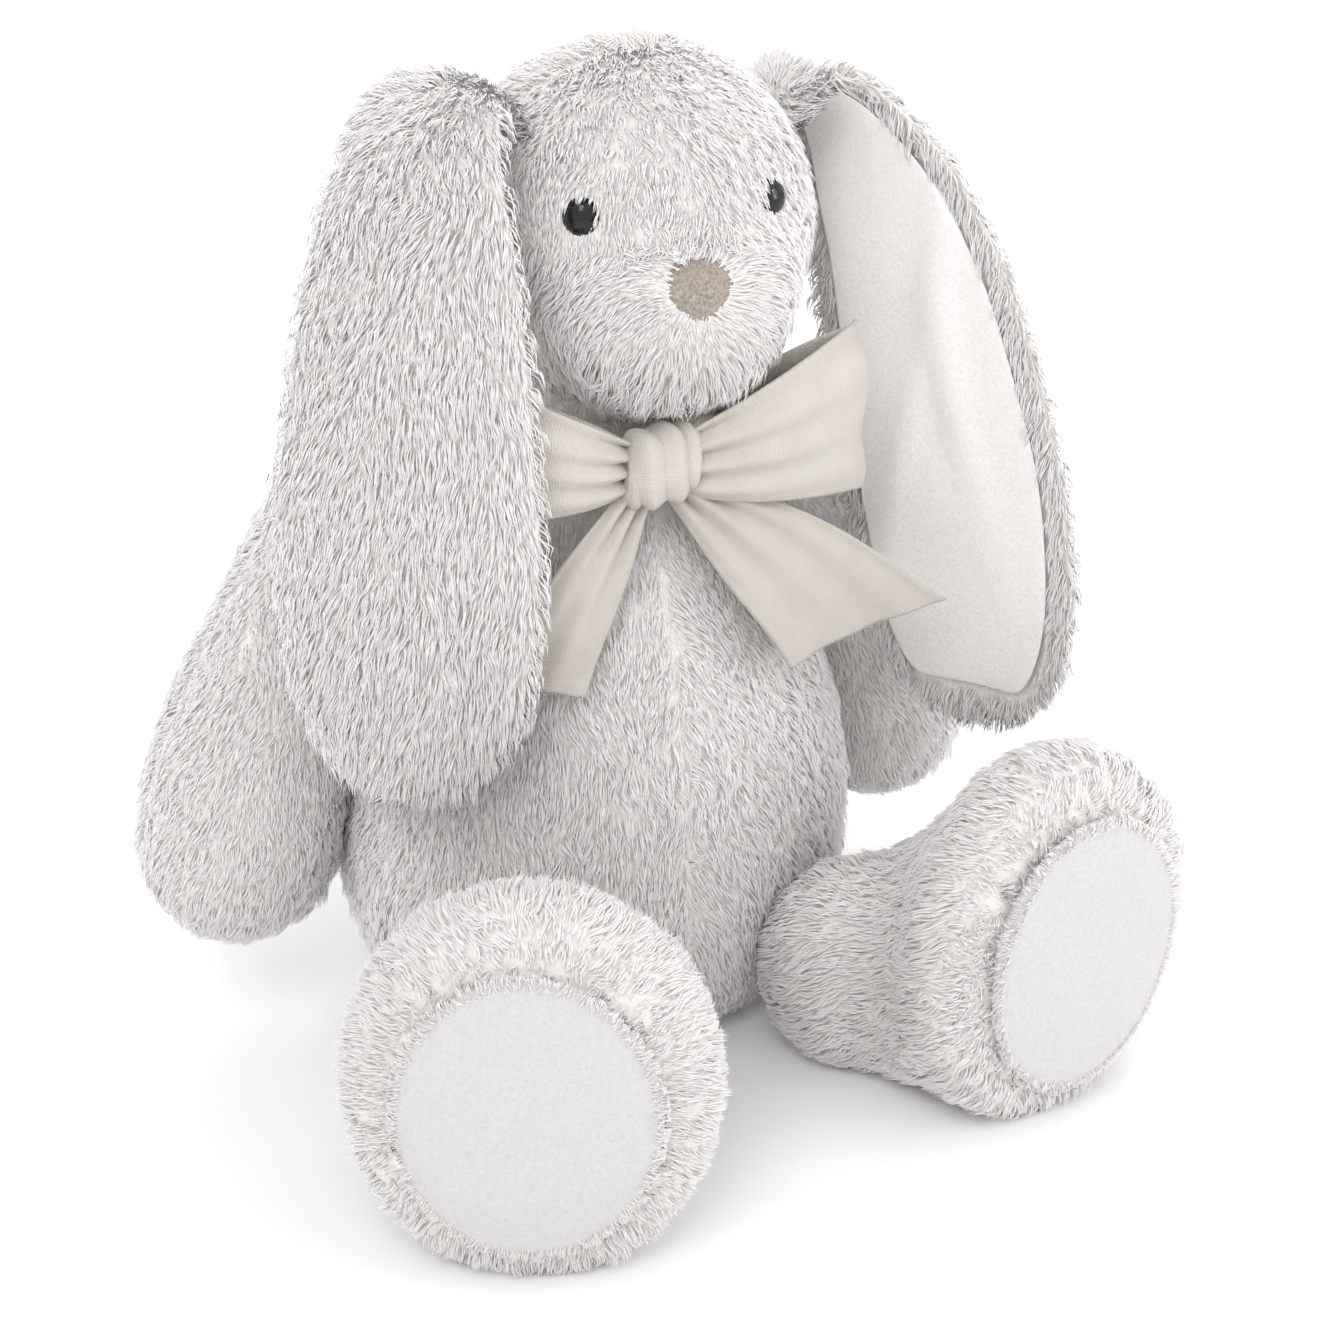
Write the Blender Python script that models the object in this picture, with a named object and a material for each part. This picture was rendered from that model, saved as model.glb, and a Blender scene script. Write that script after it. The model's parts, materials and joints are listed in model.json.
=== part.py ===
"""Stuffed bunny rabbit, sitting, with long drop ears and a tied fabric bow.

Frame: +Z up, the rabbit looks along -Y and its left side is at +X. The origin is the centre of the flat seat
under the body. Lengths are in millimetres here and are scaled to metres when each mesh is made.
Fabric skins are shells round their stuffing; every skin has one opening, where it was turned and filled.
"""

import math

import bmesh
import bpy
from mathutils import Matrix, Vector

MM = 0.001
X_AXIS = Vector((1, 0, 0))
Y_AXIS = Vector((0, 1, 0))
Z_AXIS = Vector((0, 0, 1))
GAP = 0.35          # clearance between touching pieces
SKIN = 2.0          # thickness of the pile fabric's backing

# Body: height, centre depth, half width and half depth of the pear from the seat to the neck.
TORSO_ROWS = (
    (0, 4, 42, 36),
    (6, 5, 58, 50),
    (24, 6, 70, 60),
    (52, 6, 74, 63),
    (86, 5, 70, 59),
    (118, 3, 58, 50),
    (148, 2, 45.5, 41),
    (173, 2, 34, 32),
    (196, 2, 27, 26),
)
TORSO_RINGS = 14
TORSO_SIDES = 24
NECK_Z = 196.0
NECK_AXIS_Y = 2.0
NECK_HALF = (27.0, 26.0)

# Pellet bag in the seat of the body.
PELLET_TOP = 20.0
PELLET_HALF = (52.0, 44.0)

# Head: a cranium and a muzzle that swell out of one centre, turned a little to the rabbit's right.
HEAD_CENTRE = Vector((5.0, -12.0, 240.0))
HEAD_YAW = -5.0
CRANIUM = (Vector((0, 2, 1.5)), Vector((46, 43, 44)))
MUZZLE = (Vector((0, -23, -12)), Vector((33, 27, 28)))
HEAD_SIDES = 28
HEAD_RINGS = 14
HEAD_RIM_ANGLE = 146.0

EYE_SPOT = Vector((0.8, -1.0, 0.4))
EYE_RADIUS = 5.2
EYE_DOME = 3.8
EYE_BACK = 1.2
EYE_SIDES = 16
EYE_DOME_STEPS = 5
SHANK_RADIUS = 1.6
SHANK_LENGTH = 8.0
WASHER_RADIUS = 6.0
WASHER_THICK = 1.4
WASHER_DEPTH = 2.2          # from the inside of the skin to the washer
WASHER_POCKET_CLEAR = 1.2   # round the washer, in the stuffing
SHANK_POCKET_DEPTH = 11.0
DRILL_START = 6.0           # height over the skin at which a bore's cutter starts
NOSE_SPOT = Vector((0.0, -1.0, -0.08))
NOSE_HALF = (10.0, 9.0)
NOSE_THICK = 2.6
NOSE_REACH = 50.0           # from the head's centre to the tip of the muzzle
NOSE_TAPER = 0.22           # how much narrower the foot of the nose is

# Ears: a strip that leaves the side of the crown, arches over and hangs in front of the shoulder.
EAR_STATIONS = 20
EAR_ACROSS = 7
EAR_FUR_THICK = 3.0
EAR_LINING_THICK = 1.8
EAR_LINING_MARGIN = 7.0
EAR_LINING_GAP = 1.5
EAR_LINING_START = 3        # the lining's first station
EAR_CUP = 5.0               # sag of the widest station's edges
EAR_HALF_MAX = 38.0
EAR_WIDTH_ROWS = ((0.0, 28), (0.14, 34), (0.3, 46), (0.45, 58), (0.6, 68), (0.74, 75), (0.87, 71), (0.96, 50),
                  (1.0, 24))
EARS = {
    "right": {
        "path": ((-36.5, -8, 270), (-49, -15, 282), (-62, -25, 266), (-69, -34, 230),
                 (-74, -39, 188), (-77, -42, 143), (-77, -42, 99)),
        "across": (Vector((0.25, -0.97, 0)), Vector((0.766, -0.643, 0))),
        "outward": Vector((-0.643, -0.766, 0)),
    },
    "left": {
        "path": ((47, -8, 264), (58.5, -11, 273), (70, -18, 259), (82, -28, 226),
                 (92, -36, 181), (99, -41, 132), (103, -42, 83)),
        "across": (Vector((0.0, -1.0, 0)), Vector((0.5, -0.866, 0))),
        "outward": Vector((0.866, 0.5, 0)),
    },
}

# Arms: hang from the shoulder and lean outwards. Rows: centre x, centre z, radius.
SHOULDER = (69.0, 23.0, 145.0)
ARM_ROOT_RADIUS = 22.5
ARM_ROWS = ((69, 145, 22.5), (81, 123, 23), (94, 100, 24.5), (102.5, 77, 26), (106, 60, 26))
ARM_END = 27.0
ARM_DEPTH_RATIO = 0.92
ARM_SIDES = 14

# Legs: lie on the floor, curve a little and end in an upright foot. The hip is the root's centre, and the
# foot is the centre of its widest section. Rows: share of the way, centre height, half width, half height.
HIP = (48.0, -72.0, 28.0)
HIP_RADIUS = 24.0
FOOT = {"right": (-73.0, -114.0), "left": (80.0, -105.0)}
FOOT_FACES = {"right": -27.0, "left": 12.0}
FOOT_AHEAD = 16.0
LEG_ROWS = ((0, 28, 24, 27), (0.2, 30, 30, 29.5), (0.4, 37, 37, 36.6), (0.6, 46, 42.5, 45.6),
            (0.8, 52, 45.5, 51.6), (1.0, 52, 44.5, 51.4))
FOOT_END = 9.0
LEG_SIDES = 18
SOLE_HALF = (34.0, 41.0)
SOLE_THICK = 1.8

# Bow: a band round the neck, the knot, two loops and two tails.
BAND_Z = (173.0, 190.0)
BAND_CLEAR = 1.4
RIBBON = 1.6
KNOT_CENTRE = Vector((-5, -49, 184))
KNOT_HALF = Vector((10.5, 7.5, 10.5))
LOOP_ROWS = {
    "right": (((-17, -49.5, 185.5), 6, 3), ((-31, -49, 189), 12, 6), ((-41, -47, 191), 16, 7),
              ((-48, -44, 192), 17, 4)),
    "left": (((6.8, -51, 185.5), 6.5, 3), ((20, -52, 188), 13, 7), ((36, -51.5, 191.5), 20, 8),
             ((50, -50, 192.5), 24, 7), ((57, -49, 192.5), 24.5, 3)),
}
TAIL_ROWS = {
    "right": (((-10, -46.5, 171), 6.5), ((-19, -50, 156), 12), ((-31, -50, 141), 15), ((-40, -48, 126), 17)),
    "left": (((6.5, -48, 172), 7), ((20, -53, 160), 15), ((38, -56.5, 145), 20), ((57, -58, 128), 24.5)),
}
TAIL_ACROSS = {"right": Vector((0.9, -0.42, 0.1)), "left": Vector((0.97, 0.03, 0.22))}

# Tail tuft and care label at the back.
TUFT_CENTRE = Vector((0, 83.2, 30))
TUFT_RADIUS = 15.0
LABEL_AT = Vector((48.8, 54.6, 24))
LABEL_SIZE = (12.0, 0.7, 17.0)


def interpolate(rows, t):
    """Catmull-Rom through rows of equal-length tuples, t from 0 to 1 over their even spacing."""
    last = len(rows) - 1
    place = min(max(t, 0.0), 1.0) * last
    i = min(int(place), last - 1)
    f = place - i
    p0 = rows[max(i - 1, 0)]
    p1 = rows[i]
    p2 = rows[i + 1]
    p3 = rows[min(i + 2, last)]
    out = []
    for a, b, c, d in zip(p0, p1, p2, p3):
        slope_b = (c - a) / 2
        slope_c = (d - b) / 2
        out.append((2 * f**3 - 3 * f**2 + 1) * b + (f**3 - 2 * f**2 + f) * slope_b
                   + (3 * f**2 - 2 * f**3) * c + (f**3 - f**2) * slope_c)
    return out


def oval(centre, u, v, half_u, half_v, sides):
    """Points of an ellipse in the plane of u and v."""
    points = []
    for k in range(sides):
        a = 2 * math.pi * k / sides
        points.append(centre + u * (half_u * math.cos(a)) + v * (half_v * math.sin(a)))
    return points


def finish_object(name, mesh_data, material, origin=Vector((0, 0, 0)), parent=None):
    bmesh.ops.triangulate(mesh_data, faces=[f for f in mesh_data.faces if len(f.verts) > 4])
    bmesh.ops.recalc_face_normals(mesh_data, faces=mesh_data.faces)
    for vert in mesh_data.verts:
        vert.co = (vert.co - origin) * MM
    mesh = bpy.data.meshes.new(name)
    mesh_data.to_mesh(mesh)
    mesh_data.free()
    mesh.materials.append(material)
    mesh.shade_smooth()
    mesh.set_sharp_from_angle(angle=math.radians(50))
    piece = bpy.data.objects.new(name, mesh)
    bpy.context.collection.objects.link(piece)
    piece.location = origin * MM
    if parent:
        piece.parent = parent
        piece.matrix_parent_inverse = Matrix.Translation(-parent.location)
    return piece


def ring_mesh(rings):
    """A closed skin through rings of points; a one-point ring is a pole, and an end ring is capped flat."""
    built = bmesh.new()
    rows = [[built.verts.new(p) for p in ring] for ring in rings]
    for a, b in zip(rows, rows[1:]):
        n = max(len(a), len(b))
        for k in range(n):
            m = (k + 1) % n
            if len(a) == 1:
                built.faces.new((a[0], b[m], b[k]))
            elif len(b) == 1:
                built.faces.new((a[k], a[m], b[0]))
            else:
                built.faces.new((a[k], a[m], b[m], b[k]))
    for end in (rows[0], rows[-1]):
        if len(end) > 1:
            built.faces.new(end)
    return built


def closed_ring_mesh(rings):
    """A closed loop of rings, such as a washer or a band."""
    built = bmesh.new()
    rows = [[built.verts.new(p) for p in ring] for ring in rings]
    for a, b in zip(rows, rows[1:] + rows[:1]):
        n = len(a)
        for k in range(n):
            m = (k + 1) % n
            built.faces.new((a[k], a[m], b[m], b[k]))
    return built


def make_material(name, colour, roughness):
    material = bpy.data.materials.new(name)
    material.use_nodes = True
    shader = material.node_tree.nodes["Principled BSDF"]
    shader.inputs["Base Color"].default_value = (*colour, 1.0)
    shader.inputs["Roughness"].default_value = roughness
    return material


def empty_at(name, place):
    axis = bpy.data.objects.new(name, None)
    axis.location = Vector(place) * MM
    bpy.context.collection.objects.link(axis)
    return axis


# ---------------------------------------------------------------- body

def torso_ring(t, inset):
    z, y, half_x, half_y = interpolate(TORSO_ROWS, t)
    floor_z = inset * (1 - t)
    centre = Vector((0, y, max(z, 0) * (1 - inset / NECK_Z) + floor_z if inset else max(z, 0)))
    return oval(centre, X_AXIS, Y_AXIS, half_x - inset, half_y - inset, TORSO_SIDES)


def torso_cover(material):
    steps = [k / TORSO_RINGS for k in range(TORSO_RINGS + 1)]
    outer = [torso_ring(t, 0.0) for t in steps]
    inner = [torso_ring(t, SKIN) for t in steps]
    rim = [Vector((p.x, p.y, NECK_Z)) for p in inner[-1]]
    finish_object("torso_cover", ring_mesh(outer + [rim] + inner[-2::-1]), material)


def torso_stuffing(material):
    steps = [k / TORSO_RINGS for k in range(TORSO_RINGS + 1)]
    inset = SKIN + 2 * GAP
    rings = [r for r in (torso_ring(t, inset) for t in steps) if r[0].z > PELLET_TOP + GAP]
    finish_object("torso_stuffing", ring_mesh(rings), material)


def pellet_bag(material):
    rows = ((3.2, 0.72), (6, 0.9), (12, 1.0), (17, 0.93), (PELLET_TOP, 0.7))
    rings = []
    for z, share in rows:
        rings.append(oval(Vector((0, 5, z)), X_AXIS, Y_AXIS,
                          PELLET_HALF[0] * share, PELLET_HALF[1] * share, TORSO_SIDES))
    finish_object("pellet_bag", ring_mesh(rings), material)


# ---------------------------------------------------------------- head

def turned(vector):
    """A vector of the head's own frame, turned by the head's yaw."""
    return Matrix.Rotation(math.radians(HEAD_YAW), 3, "Z") @ vector


def reach(direction, form):
    """Distance from the head's centre to an ellipsoid's far side along a direction, or 0 if it misses."""
    centre, half = form
    d = Vector([direction[i] / half[i] for i in range(3)])
    c = Vector([centre[i] / half[i] for i in range(3)])
    a = d.dot(d)
    b = d.dot(c)
    disc = b * b - a * (c.dot(c) - 1)
    if disc <= 0:
        return 0.0
    return (b + math.sqrt(disc)) / a


def head_point(direction, offset):
    """The head's surface along a direction of its own frame, moved out by an offset."""
    d = direction.normalized()
    near = reach(d, CRANIUM)
    far = reach(d, MUZZLE)
    soft = 5.0
    h = max(soft - abs(near - far), 0.0) / soft
    distance = max(near, far) + h * h * soft / 4 + offset
    return HEAD_CENTRE + turned(d * distance)


def head_rings(offset):
    """Rings of the head from its crown down to the neck."""
    rings = [[head_point(Z_AXIS, offset)]]
    for i in range(1, HEAD_RINGS + 1):
        polar = math.radians(HEAD_RIM_ANGLE) * i / HEAD_RINGS
        ring = []
        for k in range(HEAD_SIDES):
            a = 2 * math.pi * k / HEAD_SIDES
            ring.append(head_point(Vector((math.sin(polar) * math.cos(a), math.sin(polar) * math.sin(a),
                                           math.cos(polar))), offset))
        rings.append(ring)
    return rings


def neck_oval(z, inset):
    """The neck's outline, with its points turned to meet the head's rings."""
    points = []
    for k in range(HEAD_SIDES):
        a = 2 * math.pi * k / HEAD_SIDES + math.radians(HEAD_YAW)
        points.append(Vector(((NECK_HALF[0] - inset) * math.cos(a),
                              NECK_AXIS_Y + (NECK_HALF[1] - inset) * math.sin(a), z)))
    return points


def eye_frame(side):
    """The eye's place on the skin and its outward direction."""
    spot = Vector((EYE_SPOT.x * side, EYE_SPOT.y, EYE_SPOT.z))
    place = head_point(spot, 0.0)
    step = 0.05
    across = head_point(spot + Vector((step, step * side, 0)), 0.0) - place
    upward = head_point(spot + Vector((0, 0, step)), 0.0) - place
    normal = across.cross(upward).normalized()
    if normal.dot(place - HEAD_CENTRE) < 0:
        normal.negate()
    return place, normal


def turned_profile(place, normal, profile, sides):
    """Rings of a round piece whose profile is a list of (height along the normal, radius)."""
    side = normal.orthogonal().normalized()
    other = normal.cross(side)
    rings = []
    for height, radius in profile:
        centre = place + normal * height
        rings.append([centre] if radius == 0 else oval(centre, side, other, radius, radius, sides))
    return rings


def drill(piece, name, place, normal, radius, depth):
    """Cuts a round hole of the given depth into a piece."""
    profile = ((DRILL_START, radius), (-depth, radius))
    rod = ring_mesh(turned_profile(place, normal, profile, EYE_SIDES))
    cutter = finish_object(name, rod, bpy.data.materials[0])
    cutter.hide_render = True
    cutter.display_type = "WIRE"
    cut = piece.modifiers.new(name, "BOOLEAN")
    cut.operation = "DIFFERENCE"
    cut.solver = "EXACT"
    cut.object = cutter


def head(fur, fill, gloss, plastic, nose_fabric):
    outer = head_rings(0.0) + [neck_oval(NECK_Z + GAP, 0.0)]
    inner = [neck_oval(NECK_Z + GAP, SKIN)] + head_rings(-SKIN)[::-1]
    cover = finish_object("head_cover", ring_mesh(outer + inner), fur)
    core = head_rings(-SKIN - 5 * GAP)[:-1]
    core.append([sum(core[-1], Vector()) / HEAD_SIDES])
    stuffing = finish_object("head_stuffing", ring_mesh(core), fill)
    for side, label in ((1, "left"), (-1, "right")):
        place, normal = eye_frame(side)
        dome = [(EYE_BACK + EYE_DOME, 0)]
        for step in range(1, EYE_DOME_STEPS + 1):
            a = math.pi / 2 * step / EYE_DOME_STEPS
            dome.append((EYE_BACK + EYE_DOME * math.cos(a), EYE_RADIUS * math.sin(a)))
        dome += [(EYE_BACK - 0.01, SHANK_RADIUS), (-SHANK_LENGTH, SHANK_RADIUS), (-SHANK_LENGTH - 1, 0)]
        finish_object(f"eye_{label}", ring_mesh(turned_profile(place, normal, dome, EYE_SIDES)), gloss)
        low = -SKIN - WASHER_DEPTH - WASHER_THICK
        high = low + WASHER_THICK
        bore = SHANK_RADIUS + GAP
        section = ((low, bore), (low, WASHER_RADIUS), (high, WASHER_RADIUS), (high, bore))
        washer = closed_ring_mesh(turned_profile(place, normal, section, EYE_SIDES))
        finish_object(f"eye_washer_{label}", washer, plastic)
        drill(cover, f"cut_eye_{label}", place, normal, bore, SHANK_LENGTH)
        pocket = WASHER_RADIUS + WASHER_POCKET_CLEAR
        drill(stuffing, f"cut_washer_{label}", place, normal, pocket, SHANK_POCKET_DEPTH)
    nose(nose_fabric)


def nose(material):
    """A rounded shield of fabric, wide at the top, lying on the tip of the muzzle."""
    radial = 5
    sides = 20
    half_angle = (NOSE_HALF[0] / NOSE_REACH, NOSE_HALF[1] / NOSE_REACH)

    def place(share, a, offset):
        taper = 1.0 - NOSE_TAPER * max(0.0, -math.sin(a))
        x = math.cos(a) * share * half_angle[0] * taper
        z = math.sin(a) * share * half_angle[1]
        return head_point(NOSE_SPOT + Vector((x, 0, z)), offset)

    rings = [[place(0, 0, GAP)]]
    for i in range(1, radial + 1):
        rings.append([place(i / radial, 2 * math.pi * k / sides, GAP) for k in range(sides)])
    for i in range(radial, 0, -1):
        share = i / radial
        rise = GAP + NOSE_THICK * math.sqrt(max(1 - share * share, 0.12))
        rings.append([place(share, 2 * math.pi * k / sides, rise) for k in range(sides)])
    rings.append([place(0, 0, GAP + NOSE_THICK)])
    finish_object("nose", ring_mesh(rings), material)


# ---------------------------------------------------------------- ears

def ear_width(t):
    for (t0, w0), (t1, w1) in zip(EAR_WIDTH_ROWS, EAR_WIDTH_ROWS[1:]):
        if t <= t1:
            f = (t - t0) / (t1 - t0)
            f = f * f * (3 - 2 * f)
            return w0 + (w1 - w0) * f
    return EAR_WIDTH_ROWS[-1][1]


def ear_rings(shape, top, bottom, margin, stations):
    """Rings of a cupped strip between two offsets along the ear's outward normal."""
    rings = []
    for t in stations:
        centre = Vector(interpolate(shape["path"], t))
        tangent = Vector(interpolate(shape["path"], t + 0.01)) - Vector(interpolate(shape["path"], t - 0.01))
        tangent.normalize()
        turn = min(t / 0.5, 1.0)
        across = shape["across"][0].lerp(shape["across"][1], turn)
        across = (across - tangent * across.dot(tangent)).normalized()
        normal = across.cross(tangent).normalized()
        if t > 0.5 and normal.dot(shape["outward"]) < 0:
            normal.negate()
        if t <= 0.5 and normal.dot(shape["outward"] + Vector((0, 0, 1.4 * (1 - 2 * t)))) < 0:
            normal.negate()
        half = ear_width(t) / 2 - margin
        upper = []
        lower = []
        for k in range(EAR_ACROSS):
            u = 2 * k / (EAR_ACROSS - 1) - 1
            sag = -EAR_CUP * u * u * (half / EAR_HALF_MAX) ** 2
            edge = 0.35 if abs(u) == 1 else 0.0
            thick = (top - bottom) * edge
            upper.append(centre + across * (half * u) + normal * (sag + top - thick))
            lower.append(centre + across * (half * u) + normal * (sag + bottom + thick * 0.5))
        rings.append(upper + lower[::-1])
    return rings


def ears(fur, lining):
    stations = [i / EAR_STATIONS for i in range(EAR_STATIONS + 1)]
    for label, shape in EARS.items():
        pivot = empty_at(f"ear_axis_{label}", shape["path"][0])
        origin = Vector(shape["path"][0])
        outer = ear_rings(shape, EAR_FUR_THICK, 0.0, 0.0, stations)
        finish_object(f"ear_{label}_outer", ring_mesh(outer), fur, origin, pivot)
        low = -EAR_LINING_GAP - EAR_LINING_THICK
        inner = ear_rings(shape, -EAR_LINING_GAP, low, EAR_LINING_MARGIN, stations[EAR_LINING_START:-1])
        finish_object(f"ear_{label}_lining", ring_mesh(inner), lining, origin, pivot)


# ---------------------------------------------------------------- limbs

def dome_rows(reach_back, steps):
    """Shares (distance back, scale) that round off the end of a limb."""
    rows = []
    for step in range(1, steps):
        a = math.pi / 2 * step / steps
        rows.append((reach_back * math.sin(a), math.cos(a)))
    rows.append((reach_back, 0.0))
    return rows


def limb_rings(sections, root_reach, end_reach, inset, sides):
    """Rings along a limb from (centre, u, v, half_u, half_v) sections, with both ends rounded off."""
    first = sections[0]
    last = sections[-1]
    start_dir = first[1].cross(first[2]).normalized()
    if start_dir.dot(sections[1][0] - first[0]) > 0:
        start_dir.negate()
    end_dir = last[1].cross(last[2]).normalized()
    if end_dir.dot(last[0] - sections[-2][0]) < 0:
        end_dir.negate()

    def ring(section, scale, shift):
        centre, u, v, half_u, half_v = section
        if scale == 0:
            return [centre + shift]
        return oval(centre + shift, u, v, (half_u - inset) * scale, (half_v - inset) * scale, sides)

    rings = []
    for back, scale in dome_rows(root_reach - inset, 4)[::-1]:
        rings.append(ring(first, scale, start_dir * back))
    rings += [ring(s, 1.0, Vector((0, 0, 0))) for s in sections]
    for back, scale in dome_rows(end_reach - inset, 4):
        rings.append(ring(last, scale, end_dir * back))
    return rings


def open_shell(outer, inner, width):
    """A skin with a small turning hole where both root poles were."""
    hole_outer = [p.lerp(outer[0][0], 1 - width) for p in outer[1]]
    hole_inner = [p.lerp(inner[0][0], 1 - width) for p in inner[1]]
    built = bmesh.new()
    rings = [hole_outer] + outer[1:] + inner[:0:-1] + [hole_inner]
    far = len(outer) - 1
    rows = [[built.verts.new(p) for p in ring] for ring in rings]
    for i, (a, b) in enumerate(zip(rows, rows[1:] + rows[:1])):
        if i == far:
            continue
        n = max(len(a), len(b))
        for k in range(n):
            m = (k + 1) % n
            if len(b) == 1:
                built.faces.new((a[k], a[m], b[0]))
            elif len(a) == 1:
                built.faces.new((a[0], b[m], b[k]))
            else:
                built.faces.new((a[k], a[m], b[m], b[k]))
    return built


def arm_sections(side):
    sections = []
    count = 7
    for i in range(count):
        t = i / (count - 1)
        x, z, radius = interpolate(ARM_ROWS, t)
        x1, z1, _ = interpolate(ARM_ROWS, t + 0.02)
        x0, z0, _ = interpolate(ARM_ROWS, t - 0.02)
        along = Vector(((x1 - x0) * side, 0, z1 - z0)).normalized()
        u = Y_AXIS
        v = along.cross(u).normalized()
        centre = Vector((x * side, SHOULDER[1], z))
        sections.append((centre, u, v, radius * ARM_DEPTH_RATIO, radius))
    return sections


def leg_sections(label, side):
    """Sections from the hip to the foot, along a curve that ends the way the sole faces."""
    sections = []
    count = 8
    angle = math.radians(FOOT_FACES[label])
    faces = Vector((math.sin(angle), -math.cos(angle), 0))
    hip = Vector((HIP[0] * side, HIP[1], 0))
    foot = Vector((*FOOT[label], 0)) + faces * FOOT_AHEAD
    middle = foot - faces * ((foot - hip).length * 0.55)
    for i in range(count):
        t = i / (count - 1)
        _, z, half_w, half_h = interpolate(LEG_ROWS, t)
        place = hip * (1 - t) ** 2 + middle * (2 * t * (1 - t)) + foot * t**2
        along = ((middle - hip) * (1 - t) + (foot - middle) * t).normalized()
        u = Vector((along.y, -along.x, 0))
        sections.append((place + Vector((0, 0, z)), u, Z_AXIS, half_w, half_h))
    return sections, faces


def limb(name, sections, root_reach, end_reach, sides, fur, fill, pivot):
    """A stuffed limb: its skin with a turning hole at the root, and the stuffing inside."""
    outer = limb_rings(sections, root_reach, end_reach, 0.0, sides)
    inner = limb_rings(sections, root_reach, end_reach, SKIN, sides)
    core = limb_rings(sections, root_reach, end_reach, SKIN + 2 * GAP, sides)
    origin = pivot.location / MM
    finish_object(f"{name}_cover", open_shell(outer, inner, 0.5), fur, origin, pivot)
    finish_object(f"{name}_stuffing", ring_mesh(core), fill, origin, pivot)


def sole(label, section, forward, material, pivot):
    """A flat pad of short pile on the end of the foot."""
    centre, u, v, _, _ = section
    face = centre + forward * (FOOT_END + GAP)
    rings = []
    for height, share in ((0, 0.97), (SOLE_THICK * 0.6, 1.0), (SOLE_THICK, 0.93)):
        rings.append(oval(face + forward * height, u, v, SOLE_HALF[0] * share, SOLE_HALF[1] * share, 28))
    finish_object(f"sole_{label}", ring_mesh(rings), material, pivot.location / MM, pivot)


def limbs(fur, fill, short_pile):
    for label, side in (("right", -1), ("left", 1)):
        shoulder = empty_at(f"shoulder_axis_{label}", (SHOULDER[0] * side, SHOULDER[1], SHOULDER[2]))
        limb(f"arm_{label}", arm_sections(side), ARM_ROOT_RADIUS, ARM_END, ARM_SIDES, fur, fill, shoulder)
        hip = empty_at(f"hip_axis_{label}", (HIP[0] * side, HIP[1], HIP[2]))
        sections, forward = leg_sections(label, side)
        limb(f"leg_{label}", sections, HIP_RADIUS, FOOT_END, LEG_SIDES, fur, fill, hip)
        sole(label, sections[-1], forward, short_pile, hip)


# ---------------------------------------------------------------- bow

def neck_band(material):
    """A strip of ribbon round the neck, a little outside the body's skin."""
    sides = 28
    low, high = BAND_Z
    rings = []
    half = [interpolate(TORSO_ROWS, share)[2:] for share in (0.875, 1.0)]
    for z, wall in ((low, 0), (low, RIBBON), (high, RIBBON), (high, 0)):
        t = (z - TORSO_ROWS[-2][0]) / (TORSO_ROWS[-1][0] - TORSO_ROWS[-2][0])
        half_x = half[0][0] + (half[1][0] - half[0][0]) * t + BAND_CLEAR + wall
        half_y = half[0][1] + (half[1][1] - half[0][1]) * t + BAND_CLEAR + wall
        rings.append(oval(Vector((0, NECK_AXIS_Y, z)), X_AXIS, Y_AXIS, half_x, half_y, sides))
    finish_object("bow_neck_band", closed_ring_mesh(rings), material)


def knot(material):
    """A rounded pillow, pinched where the loops leave it."""
    rings = []
    steps = 8
    for i in range(steps + 1):
        a = math.pi * i / steps
        x = -math.cos(a)
        share = math.sin(a) ** 0.55 if 0 < i < steps else 0.0
        centre = KNOT_CENTRE + Vector((x * KNOT_HALF.x, 0, 0))
        if share == 0:
            rings.append([centre])
        else:
            rings.append(oval(centre, Y_AXIS, Z_AXIS,
                              KNOT_HALF.y * share, KNOT_HALF.z * share, 16))
    finish_object("bow_knot", ring_mesh(rings), material)


def loops(material):
    for label, rows in LOOP_ROWS.items():
        flat = [(*place, half_h, half_t) for place, half_h, half_t in rows]
        count = 8
        rings = []
        for i in range(count + 1):
            x, y, z, half_h, half_t = interpolate(flat, i / count)
            rings.append(oval(Vector((x, y, z)), Y_AXIS, Z_AXIS, half_t, half_h, 16))
        finish_object(f"bow_loop_{label}", ring_mesh(rings), material)


def tails(material):
    for label, rows in TAIL_ROWS.items():
        flat = [(*place, half) for place, half in rows]
        across = TAIL_ACROSS[label].normalized()
        count = 8
        rings = []
        for i in range(count + 1):
            t = i / count
            x, y, z, half = interpolate(flat, t)
            centre = Vector((x, y, z))
            ahead = Vector(interpolate(flat, t + 0.02)[:3]) - Vector(interpolate(flat, t - 0.02)[:3])
            normal = across.cross(ahead).normalized()
            if normal.y > 0:
                normal.negate()
            side = across * half
            thick = normal * RIBBON
            rings.append([centre - side, centre, centre + side, centre + side + thick, centre + thick,
                          centre - side + thick])
        finish_object(f"bow_tail_{label}", ring_mesh(rings), material)


# ---------------------------------------------------------------- back

def tuft(fur, fill):
    """The round tail at the back of the seat."""
    def ball(radius):
        rings = [[TUFT_CENTRE + Vector((0, -radius, 0))]]
        steps = 8
        for i in range(1, steps):
            a = math.pi * i / steps
            rings.append(oval(TUFT_CENTRE - Vector((0, radius * math.cos(a), 0)), X_AXIS,
                              Z_AXIS, radius * math.sin(a), radius * math.sin(a), 16))
        return rings + [[TUFT_CENTRE + Vector((0, radius, 0))]]

    finish_object("tail_cover", open_shell(ball(TUFT_RADIUS), ball(TUFT_RADIUS - SKIN), 0.5), fur)
    finish_object("tail_stuffing", ring_mesh(ball(TUFT_RADIUS - SKIN - 2 * GAP)), fill)


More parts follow.
